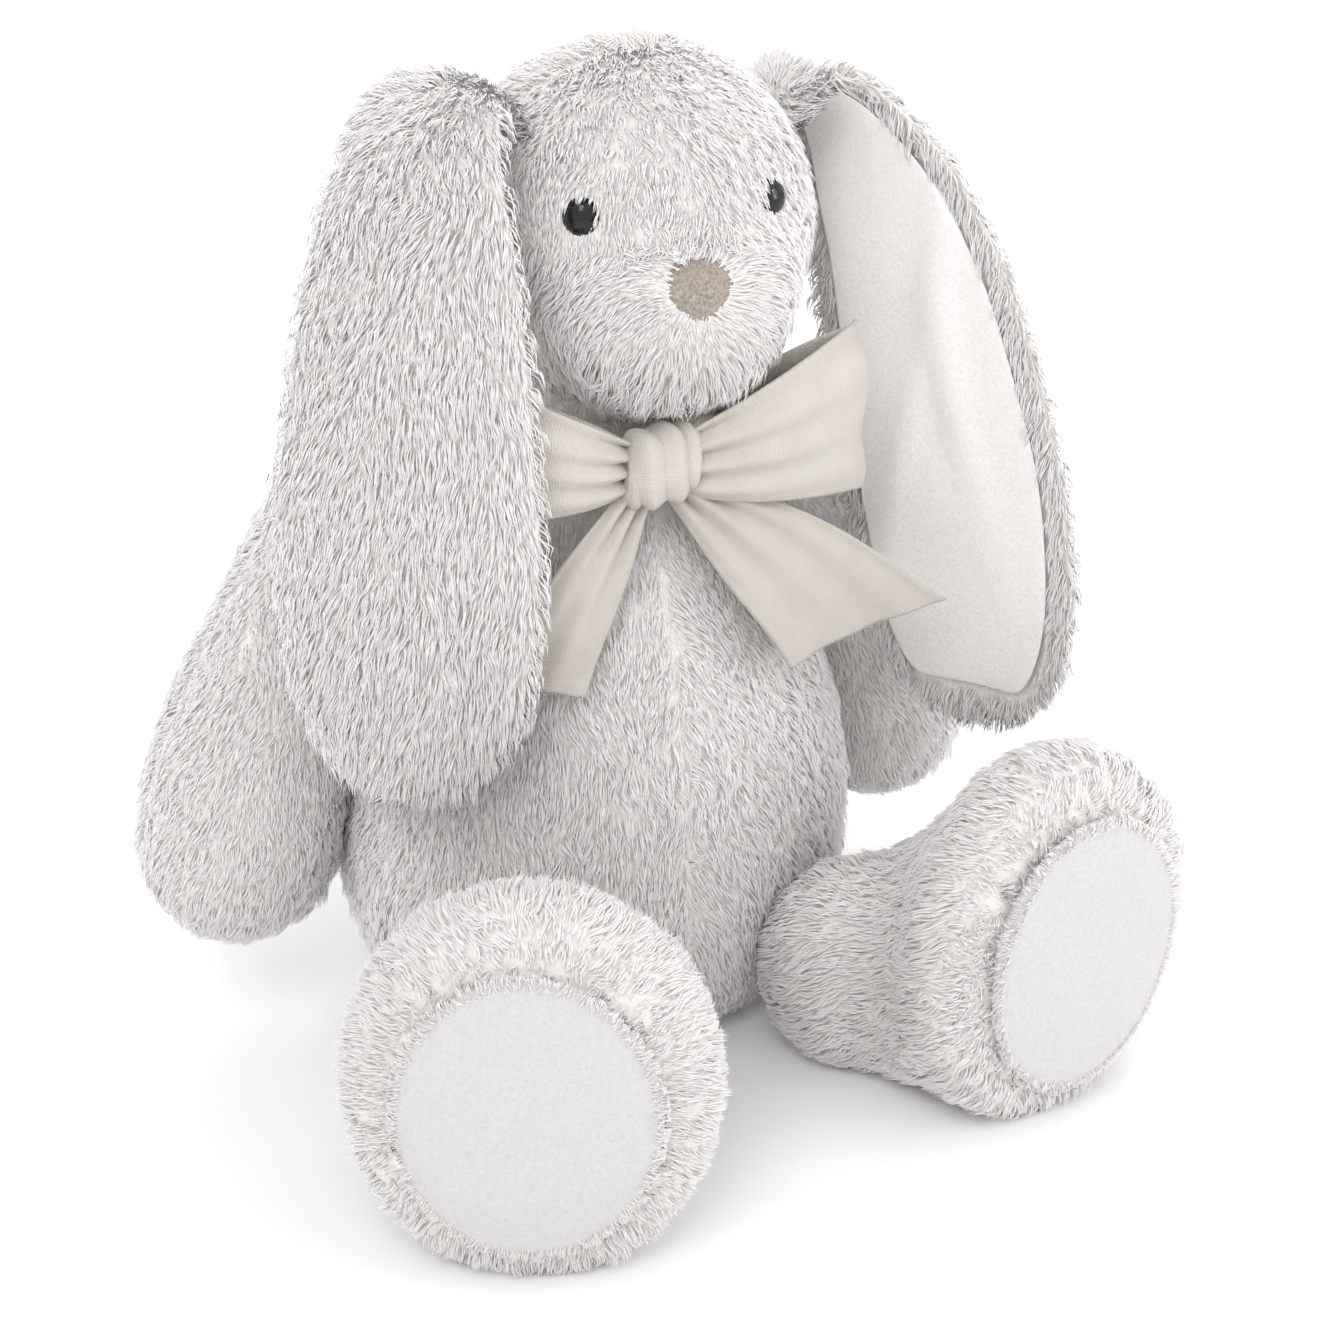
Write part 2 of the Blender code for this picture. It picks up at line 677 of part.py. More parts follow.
def care_label(material):
    """A blank satin label that stands out of the side seam."""
    out = Vector((math.sqrt(0.5), math.sqrt(0.5), 0))
    across = Vector((-out.y, out.x, 0))
    length, thick, height = LABEL_SIZE
    tip = LABEL_AT + out * length
    bottom = [LABEL_AT, tip, tip + across * thick, LABEL_AT + across * thick]
    top = [p + Vector((0, 0, height)) for p in bottom]
    finish_object("care_label", ring_mesh([bottom, top]), material)


def main():
    for thing in list(bpy.data.objects):
        bpy.data.objects.remove(thing, do_unlink=True)
    fur = make_material("plush_fur", (0.84, 0.82, 0.79), 0.9)
    short_pile = make_material("short_plush", (0.88, 0.87, 0.85), 0.85)
    ribbon = make_material("ribbon_cotton", (0.86, 0.81, 0.71), 0.75)
    gloss = make_material("eye_plastic", (0.01, 0.01, 0.012), 0.08)
    plastic = make_material("washer_plastic", (0.75, 0.75, 0.73), 0.4)
    nose_fabric = make_material("nose_fabric", (0.62, 0.54, 0.46), 0.9)
    fill = make_material("polyester_fill", (0.9, 0.9, 0.9), 0.95)
    satin = make_material("label_satin", (0.9, 0.9, 0.89), 0.4)
    pellets = make_material("pellet_cloth", (0.78, 0.78, 0.76), 0.8)
    torso_cover(fur)
    torso_stuffing(fill)
    pellet_bag(pellets)
    head(fur, fill, gloss, plastic, nose_fabric)
    ears(fur, short_pile)
    limbs(fur, fill, short_pile)
    neck_band(ribbon)
    knot(ribbon)
    loops(ribbon)
    tails(ribbon)
    tuft(fur, fill)
    care_label(satin)


main()
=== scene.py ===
import json
import math

import bmesh
import bpy
import numpy as np
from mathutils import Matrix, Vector, noise
from mathutils.bvhtree import BVHTree
from mathutils.kdtree import KDTree


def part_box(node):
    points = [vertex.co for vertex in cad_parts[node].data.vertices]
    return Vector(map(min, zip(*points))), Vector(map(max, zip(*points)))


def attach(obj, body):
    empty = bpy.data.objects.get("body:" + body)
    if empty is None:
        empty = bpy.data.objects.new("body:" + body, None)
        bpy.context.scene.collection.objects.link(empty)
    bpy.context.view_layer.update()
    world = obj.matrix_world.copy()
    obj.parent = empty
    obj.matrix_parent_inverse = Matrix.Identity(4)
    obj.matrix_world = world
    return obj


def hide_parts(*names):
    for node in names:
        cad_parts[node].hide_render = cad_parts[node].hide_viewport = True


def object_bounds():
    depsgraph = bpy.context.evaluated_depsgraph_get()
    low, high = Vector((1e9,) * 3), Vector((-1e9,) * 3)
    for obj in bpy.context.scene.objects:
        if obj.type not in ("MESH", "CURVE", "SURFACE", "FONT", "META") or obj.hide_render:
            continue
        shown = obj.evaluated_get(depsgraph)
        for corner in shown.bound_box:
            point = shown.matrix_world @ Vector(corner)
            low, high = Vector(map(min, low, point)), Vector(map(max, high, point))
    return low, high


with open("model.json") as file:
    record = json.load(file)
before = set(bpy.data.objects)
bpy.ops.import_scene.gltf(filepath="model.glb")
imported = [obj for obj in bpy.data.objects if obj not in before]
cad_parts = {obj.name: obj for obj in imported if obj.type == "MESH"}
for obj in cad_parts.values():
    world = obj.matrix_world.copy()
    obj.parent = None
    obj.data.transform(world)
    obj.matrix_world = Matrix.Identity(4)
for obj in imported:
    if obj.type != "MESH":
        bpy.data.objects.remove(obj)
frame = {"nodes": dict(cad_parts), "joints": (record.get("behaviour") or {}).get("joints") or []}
cad_low, cad_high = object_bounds()

MM = 0.001
FUR_SHARE = 1.0
FLOOR_CLEAR = 0.5 * MM     # no point of a soft piece is lower than this
PILE_BODY = 2.6 * MM       # how far a skin lies outside the CAD's surface: the dense foot of the pile
RAY_REACH = 0.4            # longer than any distance across the object
SIDES = {"right": -1, "left": 1}
joints = {joint["name"]: Vector(joint["pos_m"]) for joint in frame["joints"]}


# ---------------------------------------------------------------- materials

def material(name, colour, roughness, **values):
    """A Principled material, its node tree and its shader."""
    made = bpy.data.materials.new(name)
    made.use_nodes = True
    shader = made.node_tree.nodes["Principled BSDF"]
    shader.inputs["Base Color"].default_value = (*colour, 1)
    shader.inputs["Roughness"].default_value = roughness
    for key, value in values.items():
        shader.inputs[key.replace("_", " ")].default_value = value
    return made, made.node_tree, shader


def add(tree, kind, **values):
    """A node whose inputs or settings are given by name."""
    node = tree.nodes.new(kind)
    for key, value in values.items():
        if key in node.inputs:
            node.inputs[key].default_value = value
        else:
            setattr(node, key, value)
    return node


def ramp(tree, factor, stops):
    """A colour ramp with (place, colour) stops."""
    node = tree.nodes.new("ShaderNodeValToRGB")
    elements = node.color_ramp.elements
    while len(elements) < len(stops):
        elements.new(0.5)
    for element, (place, colour) in zip(elements, stops):
        element.position = place
        element.color = (*colour, 1)
    tree.links.new(factor, node.inputs["Fac"])
    return node.outputs["Color"]


def coordinates(tree, scale=(1, 1, 1)):
    source = tree.nodes.new("ShaderNodeTexCoord")
    mapping = add(tree, "ShaderNodeMapping")
    mapping.inputs["Scale"].default_value = scale
    tree.links.new(source.outputs["Object"], mapping.inputs["Vector"])
    return mapping.outputs["Vector"]


def noise_of(tree, scale, detail=3.0, roughness=0.55, stretch=(1, 1, 1)):
    node = add(tree, "ShaderNodeTexNoise", Scale=scale, Detail=detail, Roughness=roughness)
    tree.links.new(coordinates(tree, stretch), node.inputs["Vector"])
    return node.outputs["Fac"]


def bump(tree, shader, height, strength, distance):
    node = add(tree, "ShaderNodeBump", Strength=strength, Distance=distance)
    tree.links.new(height, node.inputs["Height"])
    tree.links.new(node.outputs["Normal"], shader.inputs["Normal"])


def mottled(name, dark, light, roughness, scale, strength, distance, stretch=(1, 1, 1), **values):
    """A material whose colour and fine relief follow one noise."""
    made, tree, shader = material(name, light, roughness, **values)
    height = noise_of(tree, scale, stretch=stretch)
    tree.links.new(ramp(tree, height, ((0.3, dark), (0.7, light))), shader.inputs["Base Color"])
    bump(tree, shader, height, strength, distance)
    return made


def colour_socket(sockets, name):
    """The colour socket of a Mix node, which has several sockets of each name."""
    return [socket for socket in sockets if socket.name == name and socket.type == "RGBA"][0]


def fur_material():
    """Pile: the UV's u is the strand's shade, a random tone, and its v runs from root to tip, with painted
    shade: darker and warmer at the root, deep in the pile.
    """
    made, tree, shader = material("plush_pile", (0.9, 0.88, 0.87), 0.85, Sheen_Weight=0.25,
                                  Specular_IOR_Level=0.2)
    shader.inputs["Sheen Roughness"].default_value = 0.6
    layer = add(tree, "ShaderNodeUVMap", uv_map="OFBake")
    parts = tree.nodes.new("ShaderNodeSeparateXYZ")
    tree.links.new(layer.outputs["UV"], parts.inputs["Vector"])
    # painted shade: darker and warmer at the root, where the strands shade each other, lightening to the tips
    along = ramp(tree, parts.outputs["Y"], ((0.0, (0.86, 0.78, 0.725)), (0.4, (0.945, 0.922, 0.904)),
                                            (1.0, (0.98, 0.972, 0.964))))
    shade = ramp(tree, parts.outputs["X"], ((0.0, (0.96, 0.952, 0.948)), (1.0, (1.0, 1.0, 1.0))))
    mix = add(tree, "ShaderNodeMix", data_type="RGBA", blend_type="MULTIPLY")
    mix.inputs[0].default_value = 1.0
    tree.links.new(along, colour_socket(mix.inputs, "A"))
    tree.links.new(shade, colour_socket(mix.inputs, "B"))
    tree.links.new(colour_socket(mix.outputs, "Result"), shader.inputs["Base Color"])
    return made


def woven_material(name, dark, light, threads, strength):
    """Plain weave: two sets of threads crossing over and under in the UV's squares."""
    made, tree, shader = material(name, light, 0.8, Sheen_Weight=0.15, Specular_IOR_Level=0.25)
    layer = add(tree, "ShaderNodeUVMap", uv_map="OFBake")
    waves = []
    for direction in ("X", "Y"):
        wave = add(tree, "ShaderNodeTexWave", bands_direction=direction, Scale=threads, Distortion=0.6)
        wave.inputs["Detail Scale"].default_value = 2.0
        tree.links.new(layer.outputs["UV"], wave.inputs["Vector"])
        waves.append(wave.outputs["Fac"])
    weave = add(tree, "ShaderNodeMath", operation="MULTIPLY")
    tree.links.new(waves[0], weave.inputs[0])
    tree.links.new(waves[1], weave.inputs[1])
    cloud = noise_of(tree, 90.0, detail=4.0)
    total = add(tree, "ShaderNodeMath", operation="ADD")
    tree.links.new(weave.outputs[0], total.inputs[0])
    tree.links.new(cloud, total.inputs[1])
    tree.links.new(ramp(tree, total.outputs[0], ((0.25, dark), (0.95, light))), shader.inputs["Base Color"])
    bump(tree, shader, weave.outputs[0], strength, 0.25 * MM)
    return made


FUR = fur_material()
# The backing is painted darker and warmer than the pile's tips: painted shade where it shows between the
# strands. Its mottle is the fabric's own.
SKIN = mottled("plush_backing", (0.82, 0.795, 0.775), (0.88, 0.865, 0.85), 0.95, 400.0, 0.5, 0.8 * MM)
# The sole pad and the ear lining are one short-pile fabric. The sole's copy is painted darker: painted shade
# that holds down the lamps' light falling full on the pad.
SOLE_PILE = mottled("short_pile_sole", (0.55, 0.542, 0.535), (0.605, 0.6, 0.596), 0.9, 900.0, 0.55, 0.5 * MM,
                    Sheen_Weight=0.25, Specular_IOR_Level=0.15)
# The lining's copy is painted lighter than the sole's: painted light that lifts the shade inside the ear.
EAR_PILE = mottled("short_pile_ear", (0.86, 0.835, 0.82), (0.945, 0.93, 0.92), 0.9, 900.0, 0.45, 0.5 * MM,
                   Sheen_Weight=0.3, Specular_IOR_Level=0.15)
RIBBON = woven_material("cream_plain_weave", (0.55, 0.505, 0.452), (0.66, 0.625, 0.578), 6.0, 0.8)
NOSE = mottled("beige_looped_pile", (0.25, 0.207, 0.176), (0.46, 0.405, 0.362), 0.95, 1100.0, 0.9, 0.6 * MM,
               Sheen_Weight=0.3, Specular_IOR_Level=0.1)
EYE = mottled("polished_black_plastic", (0.004, 0.004, 0.005), (0.012, 0.011, 0.012), 0.06, 60.0, 0.02,
              0.02 * MM,
              Coat_Weight=0.15, Coat_Roughness=0.03, Specular_IOR_Level=0.35)
WASHER = mottled("moulded_white_plastic", (0.66, 0.66, 0.64), (0.76, 0.76, 0.74), 0.45, 300.0, 0.1, 0.1 * MM)
FIBRE = mottled("loose_fibre", (0.75, 0.75, 0.74), (0.93, 0.93, 0.92), 0.95, 260.0, 1.0, 2.0 * MM,
                stretch=(1, 1, 3))
BAG_CLOTH = mottled("pellet_bag_cloth", (0.62, 0.61, 0.58), (0.8, 0.79, 0.77), 0.9, 700.0, 0.6, 0.5 * MM)
SATIN = mottled("blank_satin", (0.86, 0.86, 0.84), (0.93, 0.93, 0.92), 0.35, 1500.0, 0.3, 0.1 * MM,
                stretch=(1, 1, 8))


# ---------------------------------------------------------------- mesh helpers

def mesh_object(name, verts, faces, finish):
    mesh = bpy.data.meshes.new(name)
    mesh.from_pydata([tuple(v) for v in verts], [], [tuple(f) for f in faces])
    mesh.validate()
    bm = bmesh.new()
    bm.from_mesh(mesh)
    bmesh.ops.recalc_face_normals(bm, faces=bm.faces)
    bm.to_mesh(mesh)
    bm.free()
    mesh.shade_smooth()
    mesh.materials.append(finish)
    made = bpy.data.objects.new(name, mesh)
    bpy.context.scene.collection.objects.link(made)
    return made


def apply_modifiers(thing):
    """Replaces a piece's mesh with its modified mesh."""
    graph = bpy.context.evaluated_depsgraph_get()
    mesh = bpy.data.meshes.new_from_object(thing.evaluated_get(graph))
    thing.modifiers.clear()
    thing.data = mesh
    return thing


def subdivide(thing, levels):
    step = thing.modifiers.new("fine", "SUBSURF")
    step.levels = levels
    step.render_levels = levels
    return apply_modifiers(thing)


def thicken(thing, thickness):
    """Gives a sheet its thickness, half to each side."""
    step = thing.modifiers.new("thick", "SOLIDIFY")
    step.thickness = thickness
    step.offset = 0.0
    step.use_even_offset = False
    return apply_modifiers(thing)


def node_tree(node):
    """A search tree over a CAD node's surface."""
    mesh = frame["nodes"][node].data
    verts = [v.co.copy() for v in mesh.vertices]
    faces = [tuple(p.vertices) for p in mesh.polygons]
    return BVHTree.FromPolygons(verts, faces)


def copy_of(node, name, finish, levels):
    """A welded, finer copy of a CAD node's mesh."""
    bm = bmesh.new()
    bm.from_mesh(frame["nodes"][node].data)
    bmesh.ops.remove_doubles(bm, verts=bm.verts, dist=0.02 * MM)
    bmesh.ops.join_triangles(bm, faces=bm.faces, angle_face_threshold=0.6, angle_shape_threshold=1.2)
    mesh = bpy.data.meshes.new(name)
    bm.to_mesh(mesh)
    bm.free()
    mesh.shade_smooth()
    mesh.materials.clear()
    mesh.materials.append(finish)
    made = bpy.data.objects.new(name, mesh)
    bpy.context.scene.collection.objects.link(made)
    return subdivide(made, levels) if levels else made


def frame_along(axis):
    """Two unit directions square to an axis and to each other."""
    helper = Vector((0, 0, 1)) if abs(axis.z) < 0.9 else Vector((0, 1, 0))
    u = axis.cross(helper).normalized()
    return u, u.cross(axis).normalized()


WRAP_DROP = 0.6             # a ray that comes this much shorter than its neighbour has hit something else
WRAP_START = 20 * MM        # reach of a first ray that hits nothing
SMOOTH_ROUNDS = 2


def wrap(node, start, end, rings, sides, caps, fan=(90, 90)):
    """A closed skin round a node: rays come in from all round towards points on the line from start to end.
    fan is how far round each end the rays turn, in degrees, before the skin is closed with one point."""
    tree = node_tree(node)
    axis = (end - start).normalized()
    u, v = frame_along(axis)
    places = []
    for i in range(caps):
        tilt = math.radians(fan[0] * (1 - i / caps))
        places.append((start, -math.sin(tilt), math.cos(tilt)))
    for i in range(rings):
        places.append((start.lerp(end, i / (rings - 1)), 0.0, 1.0))
    for i in range(1, caps + 1):
        tilt = math.radians(fan[1] * i / caps)
        places.append((end, math.sin(tilt), math.cos(tilt)))
    verts = []
    last = [None] * sides
    for origin, lift, spread in places:
        for k in range(sides):
            turn = 2 * math.pi * k / sides
            way = (u * math.cos(turn) + v * math.sin(turn)) * spread + axis * lift
            hit = tree.ray_cast(origin + way * RAY_REACH, -way, RAY_REACH)[0]
            reach = (hit - origin).length if hit else None
            if reach is None or (last[k] and reach < last[k] * WRAP_DROP):
                reach = last[k] or WRAP_START
            last[k] = reach
            verts.append(origin + way * (reach + PILE_BODY))
    faces = []
    for i in range(len(places) - 1):
        for k in range(sides):
            n = (k + 1) % sides
            faces.append((i * sides + k, i * sides + n, (i + 1) * sides + n, (i + 1) * sides + k))
    for first, flip in ((0, True), ((len(places) - 1) * sides, False)):
        centre = len(verts)
        ring = verts[first:first + sides]
        verts.append(sum(ring, Vector()) / sides)
        for k in range(sides):
            n = (k + 1) % sides
            faces.append((centre, first + n, first + k) if flip else (centre, first + k, first + n))
    return verts, faces


def smooth_points(verts, faces):
    """Moves each point half-way towards the mean of its neighbours, a few times."""
    points = np.array([tuple(v) for v in verts])
    edges = set()
    for face in faces:
        for a, b in zip(face, face[1:] + face[:1]):
            edges.add((min(a, b), max(a, b)))
    edges = np.array(sorted(edges))
    count = np.zeros(len(points))
    np.add.at(count, edges[:, 0], 1)
    np.add.at(count, edges[:, 1], 1)
    for _ in range(SMOOTH_ROUNDS):
        total = np.zeros_like(points)
        np.add.at(total, edges[:, 0], points[edges[:, 1]])
        np.add.at(total, edges[:, 1], points[edges[:, 0]])
        points += 0.5 * (total / count[:, None] - points)
    return points


# ---------------------------------------------------------------- fur
# The functions that steer the pile take the strands' roots and the surface's normals there, as arrays.

STRANDS_A_PIECE = 19000     # keeps each piece of pile under 200,000 triangles
STRAND_FACES = np.array([(4, 1, 0), (3, 4, 0), (5, 2, 1), (4, 5, 1), (3, 0, 2), (5, 3, 2),
                         (6, 4, 3), (6, 5, 4), (6, 3, 5), (0, 1, 2)])
STRAND_HEIGHTS = np.array([0.02, 0.02, 0.02, 0.5, 0.5, 0.5, 0.98])
STRAND_POINTS = len(STRAND_HEIGHTS)
TUFT_STRANDS = 8            # strands that lean together
TUFT_PULL = 0.5             # how strongly they do
LEAN_SPREAD = 9             # degrees
SWIRLS = ((55.0, 0.55, 0), (260.0, 0.5, 7))     # scale and strength of the wandering lie, and its seed's step


def unit(a):
    """Each row of an array as a unit vector."""
    return a / np.maximum(np.linalg.norm(a, axis=-1, keepdims=True), 1e-9)


def triangles_of(thing):
    """A piece's points, normals and triangles as arrays."""
    mesh = thing.data
    mesh.calc_loop_triangles()
    points = np.empty(len(mesh.vertices) * 3)
    mesh.vertices.foreach_get("co", points)
    normals = np.empty(len(mesh.vertices) * 3)
    mesh.vertices.foreach_get("normal", normals)
    tris = np.empty(len(mesh.loop_triangles) * 3, dtype=np.int64)
    mesh.loop_triangles.foreach_get("vertices", tris)
    return points.reshape(-1, 3), normals.reshape(-1, 3), tris.reshape(-1, 3)


noise.seed_set(1)           # otherwise noise_vector starts from the clock and the pile differs from run to run


def wander(points, scale, seed):
    """A smooth random direction for each point."""
    shift = Vector((seed * 3.7, seed * 1.9, -seed * 2.3))
    return np.array([tuple(noise.noise_vector(Vector(p) * scale + shift)) for p in points])


def grow(name, body, thing, density, flow, seed, keep=None, length=6.0, width=0.54, lean=(44, 76),
         shorten=None):
    """Grows curved, tapered strands from a piece's surface. density is in strands per square mm; flow gives
    the direction that the pile lies in; keep says where it grows, and shorten what share of its length it has
    there. length and width are in mm, and lean is a strand's tilt at its root and at its tip, in degrees."""
    rng = np.random.default_rng(seed)
    points, normals, tris = triangles_of(thing)
    a, b, c = points[tris[:, 0]], points[tris[:, 1]], points[tris[:, 2]]
    area = np.linalg.norm(np.cross(b - a, c - a), axis=1) / 2
    total = int(area.sum() * 1e6 * density * FUR_SHARE)
    pick = rng.choice(len(tris), total, p=area / area.sum())
    r1 = np.sqrt(rng.random(total))[:, None]
    r2 = rng.random(total)[:, None]
    roots = a[pick] * (1 - r1) + b[pick] * r1 * (1 - r2) + c[pick] * r1 * r2
    ups = unit(normals[tris[pick, 0]] * (1 - r1) + normals[tris[pick, 1]] * r1 * (1 - r2)
               + normals[tris[pick, 2]] * r1 * r2)
    if keep is not None:
        stay = keep(roots, ups)
        roots, ups = roots[stay], ups[stay]
    total = len(roots)
    centres = rng.choice(total, max(2, total // TUFT_STRANDS), replace=False)
    tree = KDTree(len(centres))
    for i, j in enumerate(centres):
        tree.insert(roots[j], i)
    tree.balance()
    group = np.array([tree.find(p)[1] for p in roots])
    swirl = sum(wander(roots[centres], scale, seed + step)[group] * share for scale, share, step in SWIRLS)
    lie = flow(roots, ups) + swirl + rng.normal(0, 0.16, (total, 3))
    lie = unit(lie - ups * np.sum(lie * ups, axis=1, keepdims=True))
    reach = length * MM * rng.uniform(0.72, 1.12, total)
    reach *= (1 + 0.14 * rng.standard_normal(len(centres)))[group].clip(0.6, 1.4)
    if shorten is not None:
        reach *= shorten(roots, ups)
    reach = reach[:, None]
    tilt = np.radians(lean[0] + LEAN_SPREAD * rng.standard_normal((total, 1)))
    bend = np.radians(lean[1] + LEAN_SPREAD * rng.standard_normal((total, 1)))
    middle = roots + reach * 0.5 * (np.cos(tilt) * ups + np.sin(tilt) * lie)
    tips = middle + reach * 0.5 * (np.cos(bend) * ups + np.sin(bend) * lie)
    lead = centres[group]
    tips += TUFT_PULL * (tips[lead] - tips + 0.3 * (roots - roots[lead]))
    middle += 0.4 * TUFT_PULL * (middle[lead] - middle + 0.6 * (roots - roots[lead]))
    side = unit(np.cross(lie, ups))
    radius = width * MM / 2 * rng.uniform(0.75, 1.15, (total, 1)) / math.sqrt(FUR_SHARE)
    parts = max(1, math.ceil(total / STRANDS_A_PIECE))
    order = np.argsort(roots[:, 2], kind="stable")
    shade = rng.random(total)
    for part, chosen in enumerate(np.array_split(order, parts)):
        rows = []
        around = []
        for centre, size in ((roots - ups * 0.5 * MM, 1.0), (middle, 0.8)):
            for angle in (90, 210, 330):
                turn = math.radians(angle)
                spoke = side[chosen] * math.cos(turn) + ups[chosen] * math.sin(turn)
                rows.append(centre[chosen] + radius[chosen] * size * spoke)
                around.append(spoke)
        rows.append(tips[chosen])
        around.append(ups[chosen])
        soft = unit(np.stack(around, axis=1) * 0.4 + ups[chosen][:, None, :])
        part_name = name if parts == 1 else f"{name}_{part + 1}"
        strand_mesh(part_name, body, np.stack(rows, axis=1), soft, shade[chosen])


def strand_mesh(name, body, rows, normals, shade):
    """One mesh of closed seven-point strands; each strand's shade and height are in its UVs."""
    total = len(rows)
    verts = rows.reshape(-1, 3)
    verts[:, 2] = np.maximum(verts[:, 2], FLOOR_CLEAR)
    faces = (STRAND_FACES[None] + STRAND_POINTS * np.arange(total)[:, None, None]).reshape(-1, 3)
    mesh = bpy.data.meshes.new(name)
    mesh.vertices.add(len(verts))
    mesh.vertices.foreach_set("co", verts.astype(np.float32).ravel())
    mesh.loops.add(faces.size)
    mesh.loops.foreach_set("vertex_index", faces.astype(np.int32).ravel())
    mesh.polygons.add(len(faces))
    mesh.polygons.foreach_set("loop_start", np.arange(0, faces.size, 3, dtype=np.int32))
    mesh.update(calc_edges=True)
    layer = mesh.uv_layers.new(name="OFBake")
    uv = np.stack([np.repeat(shade, STRAND_POINTS), np.tile(STRAND_HEIGHTS, total)], axis=1)
    layer.data.foreach_set("uv", uv[faces.ravel()].astype(np.float32).ravel())
    mesh.shade_smooth()
    mesh.normals_split_custom_set_from_vertices(normals.reshape(-1, 3))
    mesh.materials.append(FUR)
    made = bpy.data.objects.new(name, mesh)
    bpy.context.scene.collection.objects.link(made)
    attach(made, body)


def band(values, low, high):
    """0 below low, 1 above high, smooth between."""
    t = np.clip((values - low) / (high - low), 0, 1)
    return t * t * (3 - 2 * t)


def skin_piece(name, body, node, verts, faces):
    """A stuffed fabric skin that stands for a node."""
    points = smooth_points(verts, faces)
    points[:, 2] = np.maximum(points[:, 2], FLOOR_CLEAR)
    made = mesh_object(name, points, faces, SKIN)
    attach(made, body)
    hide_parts(node)
    return made


def finish_node(node, finish):
    """Gives a CAD node that stays visible its material."""
    materials = frame["nodes"][node].data.materials
    materials.clear()
    materials.append(finish)


def centre_of(node):
    low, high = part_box(node)
    return (low + high) / 2


# ---------------------------------------------------------------- body

torso_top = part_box("torso_cover")[1].z
torso_mid = centre_of("torso_cover")
torso_axis = Vector((torso_mid.x, torso_mid.y - 1 * MM, 0))
verts, faces = wrap("torso_cover", torso_axis + Vector((0, 0, 40 * MM)),
                    torso_axis + Vector((0, -2 * MM, torso_top - 6 * MM)), 40, 72, 18, fan=(90, 40))
torso = skin_piece("body_skin", "body", "torso_cover", verts, faces)


def torso_flow(p, n):
    away = np.sign(p[:, :1]) * np.exp(-(p[:, :1] / (9 * MM)) ** 2) * (p[:, 1:2] < 0)
    out = np.zeros_like(p)
    out[:, 2] = -1
    out[:, :1] += 0.4 * away
    low = band(-p[:, 2:3], -16 * MM, -2 * MM)
    return out * (1 - low) + low * np.concatenate([p[:, :2] * 12, np.full((len(p), 1), 0.3)], axis=1)


def above_floor(p):
    return p[:, 2] > 2.5 * MM


def torso_short(p, n):
    seam = np.exp(-(p[:, 0] / (2.2 * MM)) ** 2) * (p[:, 1] < 0)
    under_bow = 0.35 * band(p[:, 2], 160 * MM, 172 * MM)
    return (1 - 0.2 * seam) * (1 - under_bow)


grow("body_fur_front", "body", torso, 1.05, torso_flow, 11,
     keep=lambda p, n: above_floor(p) & (p[:, 1] < torso_mid.y), shorten=torso_short)
grow("body_fur_back", "body", torso, 0.8, torso_flow, 12,
     keep=lambda p, n: above_floor(p) & (p[:, 1] >= torso_mid.y), shorten=torso_short)

# ---------------------------------------------------------------- head

HEAD_REACH = 44 * MM
HEAD_RAY = 0.3              # m, from the head's centre to where its rays start
head_centre = centre_of("head_stuffing")
head_centre.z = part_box("head_cover")[1].z - 45 * MM
nose_at = centre_of("nose")
eyes = {side: centre_of("eye_" + side) for side in SIDES}
forward = (nose_at - head_centre)
forward.z = 0
forward.normalize()
rightward = Vector((-forward.y, forward.x, 0))


def head_wrap(rows, sides, lowest):
    """A closed skin over the head, by rays towards its centre, down to the polar angle lowest in degrees."""
    tree = node_tree("head_cover")
    verts = []
    reach = [HEAD_REACH] * sides
    for i in range(1, rows):
        polar = math.radians(lowest * i / (rows - 1))
        for k in range(sides):
            turn = 2 * math.pi * k / sides
            level = math.sin(polar)
            way = Vector((level * math.cos(turn), level * math.sin(turn), math.cos(polar)))
            hit = tree.ray_cast(head_centre + way * HEAD_RAY, -way, HEAD_RAY)[0]
            found = (hit - head_centre).length if hit else 0
            reach[k] = found if found > reach[k] * 0.75 else reach[k]
            verts.append(head_centre + way * (reach[k] + PILE_BODY))
    faces = []
    for i in range(rows - 2):
        for k in range(sides):
            n = (k + 1) % sides
            faces.append((i * sides + k, (i + 1) * sides + k, (i + 1) * sides + n, i * sides + n))
    for first in (0, (rows - 2) * sides):
        centre = len(verts)
        verts.append(sum(verts[first:first + sides], Vector()) / sides)
        for k in range(sides):
            n = (k + 1) % sides
            faces.append((centre, first + k, first + n) if first == 0 else (centre, first + n, first + k))
    return verts, faces


verts, faces = head_wrap(50, 84, 152)
head = skin_piece("head_skin", "body", "head_cover", verts, faces)


def head_flow(p, n):
    from_nose = p - np.array(nose_at)
    distance = np.linalg.norm(from_nose, axis=1, keepdims=True)
    local = p - np.array(head_centre)
    across = local @ np.array(rightward)
    ahead = local @ np.array(forward)
    crown = np.zeros_like(p)
    crown[:, 2] = -1.0
    crown += np.outer(np.tanh(across / (24 * MM)), np.array(rightward)) * 0.28
    crown += np.outer(np.where(ahead < 0, -0.4, 0.35), np.array(forward))
    above = band(p[:, 2:3], nose_at.z + 2 * MM, nose_at.z + 16 * MM)
    near = np.exp(-(distance / (27 * MM)) ** 2) * (1 - above)
    near = np.maximum(near, np.exp(-(distance / (13 * MM)) ** 2) * 0.7)
    return crown * (1 - near) + unit(from_nose) * near * 1.4


def head_keep(p, n):
    clear = np.ones(len(p), dtype=bool)
    for side in SIDES:
        clear &= np.linalg.norm(p - np.array(eyes[side]), axis=1) > 5.1 * MM
    from_nose = p - np.array(nose_at)
    clear &= np.linalg.norm(from_nose / np.array((7.3, 7.3, 6.3)) / MM, axis=1) > 1
    return clear


